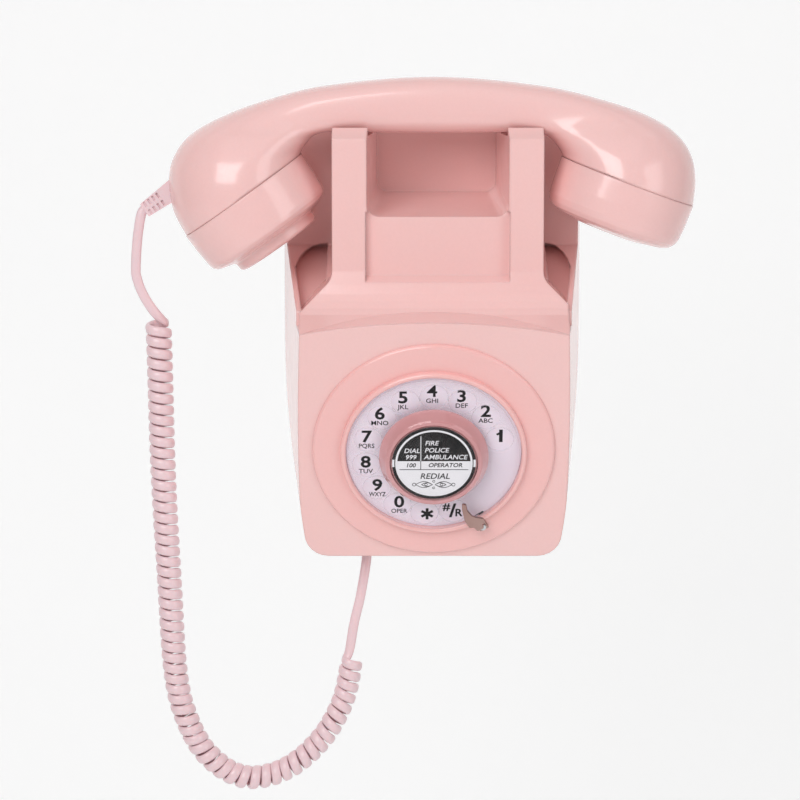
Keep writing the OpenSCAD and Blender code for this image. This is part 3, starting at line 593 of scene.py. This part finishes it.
# ---------------------------------------------------------------- handset
# The handset is a hollow moulded bow that swells into two round cups; both caps screw on.
# The strain relief for the cord pushes into the back of the mouthpiece cup.
bow = [
    (-109.5, 44.9, -58.8, 80.9, 31.5), (-114.9, 55.3, -58.3, 82.2, 31.6), (-117, 67.1, -57.4, 84, 30.4),
    (-115.6, 77.8, -55.5, 86.4, 27.6), (-109, 87.9, -52.8, 89, 23.6), (-96.4, 96, -48.6, 90.4, 19.4),
    (-76.1, 103.9, -41.6, 90.8, 16), (-47.5, 111, -27.8, 90.7, 14.4), (-0.2, 114.9, -0.2, 90.5, 14),
    (47, 111, 27.4, 90.7, 14.4), (78.6, 103.6, 40.3, 90.7, 16), (97.5, 96.4, 47.6, 90, 19.4),
    (108.2, 88.9, 51.7, 87.8, 23.6), (114.1, 79.8, 54.5, 84.7, 27.6), (115.9, 69, 56.3, 82, 30.2),
    (114.9, 58.1, 57, 79.9, 31.2)]
handset_depth = 55
ring_points = 56
seam_round = 0.5
grip_half = 14
cup_swell = 17
end_inset = 8


def bow_ring(section, inset=0.0, push=0.0):
    """One ring of the bow, inset all round and pushed along the bow."""
    back_x, back_z, in_x, in_z, half = section
    back, inner = Vector((back_x, 0, back_z)), Vector((in_x, 0, in_z))
    across = (inner - back).normalized()
    along = Vector((-across.z, 0, across.x))
    centre = (back + inner) / 2 + along * push
    tall = (inner - back).length / 2 - inset
    deep = half - inset
    square = 0.68 + 0.32 * min(max((half - grip_half) / cup_swell, 0), 1)
    ring = []
    for k in range(ring_points):
        angle = 2 * pi * k / ring_points
        c, s = cos(angle), sin(angle)
        c = abs(c) ** square * (1 if c > 0 else -1)
        s = abs(s) ** square * (1 if s > 0 else -1)
        ring.append((centre + across * c * tall + Vector((0, -handset_depth + s * deep, 0))) * MM)
    return ring


def seam_ring(section, degrees, way):
    """One ring of the small round where the bow meets a cap."""
    angle = radians(degrees)
    return bow_ring(section, seam_round * (1 - sin(angle)), way * seam_round * (1 - cos(angle)))


sections = catmull(bow, 8)
shell_rings = [bow_ring(sections[0], end_inset), bow_ring(sections[0], seam_round)]
shell_rings += [seam_ring(sections[0], a, 1) for a in (30, 60, 90)]
shell_rings += [bow_ring(section) for section in sections[1:-1]]
shell_rings += [seam_ring(sections[-1], a, -1) for a in (90, 60, 30)]
shell_rings += [bow_ring(sections[-1], seam_round), bow_ring(sections[-1], end_inset)]
handset = add_mesh("handset_moulding", *skin(shell_rings))
handset.data.materials.append(pink)
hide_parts("handset_shell")
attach(handset, "handset")
for cap in ("mouthpiece_cap", "earpiece_cap"):
    paint(cap, pink)
    for face in nodes[cap].data.polygons:
        face.use_smooth = True
    nodes[cap].modifiers.new("even", "WEIGHTED_NORMAL")
paint("cord_boot", cord_sleeve)
paint("microphone_capsule", steel)
paint("receiver_capsule", steel)
paint("handset_weight", steel)


# ---------------------------------------------------------------- works inside
# Frames, springs, gears, switches, the bell and the circuit board, as they lie behind the dial.
# They are plated steel, brass and dark plastic. Most are hidden; the socket and slider open underneath.
dark = moulded("dark_plastic", (0.03, 0.03, 0.033), (0.02, 0.02, 0.024), 0.45, 0.15, 0.0)
pale = moulded("pale_plastic", (0.7, 0.66, 0.56), (0.62, 0.58, 0.48), 0.4, 0.1, 0.0)
board_green = moulded("board_green", (0.03, 0.2, 0.08), (0.02, 0.14, 0.06), 0.35, 0.1, 0.2)
copper = metal("copper_wire", (0.62, 0.28, 0.14), 0.3, 0.3)
for name in ("dial_frame", "dial_rear_plate", "return_spring", "bell_bracket", "dial_shaft", "shaft_clip",
             "governor_pinion", "hook_lever", "clapper", "ringer_core"):
    paint(name, steel)
for name in ("dial_bearing", "governor_cup", "main_gear", "governor_weights"):
    paint(name, brass)
for name in ("pulse_contacts", "redial_switch", "board_components", "hook_switch", "volume_switch",
             "volume_slider"):
    paint(name, dark)
for name in ("line_jack", "pulse_cam"):
    paint(name, pale)
for name in ("bell_gong_left", "bell_gong_right"):
    paint(name, reflection_painted_metal)
paint("circuit_board", board_green)
paint("ringer_coil", copper)


# ---------------------------------------------------------------- studio
# A pale sweep behind and below the telephone, and broad soft lamps above, in front and at the sides.
# The sweep's wall stands a metre behind and glows to a clean white. Colours are shown plainly.
bpy.context.scene.view_settings.view_transform = "Standard"


def backdrop():
    """A floor that curves up into a wall, with sizes in metres."""
    half = 3.0
    floor_z, wall_y, bend = -1.1, 1.0, 0.5
    floor_front, wall_top = -2.5, 2.5
    side = [(floor_front, floor_z), (wall_y - bend, floor_z)]
    side += [(wall_y - bend + bend * sin(radians(a)), floor_z + bend - bend * cos(radians(a)))
             for a in range(10, 91, 10)]
    side += [(wall_y, wall_top)]
    points = [(x, y, z) for y, z in side for x in (-half, half)]
    faces = [(2 * i, 2 * i + 1, 2 * i + 3, 2 * i + 2) for i in range(len(side) - 1)]
    return add_mesh("backdrop", points, faces)


sweep = backdrop()
sweep_white, sweep_wire = new_material("sweep_white")
finish_material(sweep_white, sweep_wire, Roughness=0.9, Emission_Color=(1, 1, 1, 1), Emission_Strength=0.22,
                Base_Color=tint(sweep_wire, (0.93, 0.93, 0.93), (0.9, 0.9, 0.9), noise(sweep_wire, 2)))
sweep.data.materials.append(sweep_white)


def lamp(name, place_at, size, power):
    """A broad soft lamp that faces the telephone."""
    data = bpy.data.lights.new(name, "AREA")
    data.shape = "RECTANGLE"
    data.size, data.size_y = size
    data.energy = power
    piece = bpy.data.objects.new(name, data)
    piece.location = place_at
    piece.rotation_euler = (aim - Vector(place_at)).to_track_quat("-Z", "Y").to_euler()
    bpy.context.scene.collection.objects.link(piece)


lamp("top_lamp", (-0.1, -0.75, 1.3), (1.3, 0.9), 1.5)
lamp("front_lamp", (-0.7, -1.7, 0.9), (1.2, 1.2), 21)
lamp("right_lamp", (1.2, -1.2, 0.3), (0.8, 1.4), 6)
lamp("wall_lamp", (0, 0.1, 1.6), (2.4, 0.5), 1.5)
world = bpy.data.worlds.new("studio")
world.use_nodes = True
sky = world.node_tree.nodes["Background"]
sky.inputs["Color"].default_value = (1, 1, 1, 1)
sky.inputs["Strength"].default_value = 0.3
bpy.context.scene.world = world
